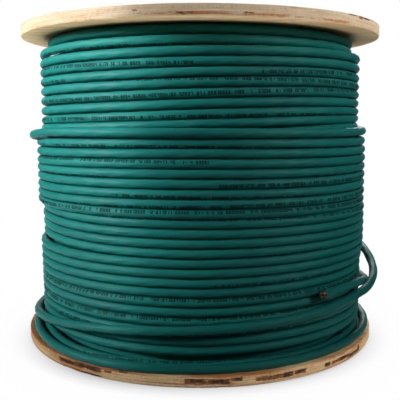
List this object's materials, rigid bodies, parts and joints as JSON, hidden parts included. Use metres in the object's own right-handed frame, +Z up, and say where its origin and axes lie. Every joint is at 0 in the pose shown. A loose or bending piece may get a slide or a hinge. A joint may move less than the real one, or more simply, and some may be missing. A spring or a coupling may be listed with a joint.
{
  "type": "cable reel",
  "caption": "Plywood cable reel on a fibre drum, wound full with network cable whose outer end hangs as a loose turn.",
  "frame": {"origin": "centre of the bottom flange's underside, which is the face the reel stands on", "axes": "+Z up along the reel's axis; +X points to the side on which the loose turn stands off; +Y points to the side where the loose turn leaves the winding"},
  "size_m": [0.3513, 0.35, 0.3],
  "materials": {
    "plywood": "raw sawn plywood",
    "fibre_tube": "spiral-wound fibre board, matt",
    "zinc_steel": "zinc plated",
    "jacket": "satin extruded jacket",
    "jacket_inner": "satin extruded jacket in shade",
    "separator": "milky",
    "rip_cord": "twisted thread",
    "wire_blue": "smooth",
    "wire_blue_white": "smooth",
    "wire_orange": "smooth",
    "wire_orange_white": "smooth",
    "wire_green": "smooth",
    "wire_green_white": "smooth",
    "wire_brown": "smooth",
    "wire_brown_white": "smooth",
    "copper": "bright cut copper"
  },
  "bodies": {
    "root": {"flange_bottom": "plywood", "flange_top": "plywood", "core_tube": "fibre_tube", "tie_bolts": "zinc_steel", "washers": "zinc_steel", "nuts": "zinc_steel", "wound_core": "jacket_inner", "upper_turns": "jacket", "raised_turns": "jacket", "lower_turns": "jacket", "loose_turn": "jacket", "jacket_end": "jacket", "separator": "separator", "rip_cord": "rip_cord", "wire_blue": "wire_blue", "wire_blue_white": "wire_blue_white", "wire_orange": "wire_orange", "wire_orange_white": "wire_orange_white", "wire_green": "wire_green", "wire_green_white": "wire_green_white", "wire_brown": "wire_brown", "wire_brown_white": "wire_brown_white", "conductors": "copper"}
  },
  "joints": []
}
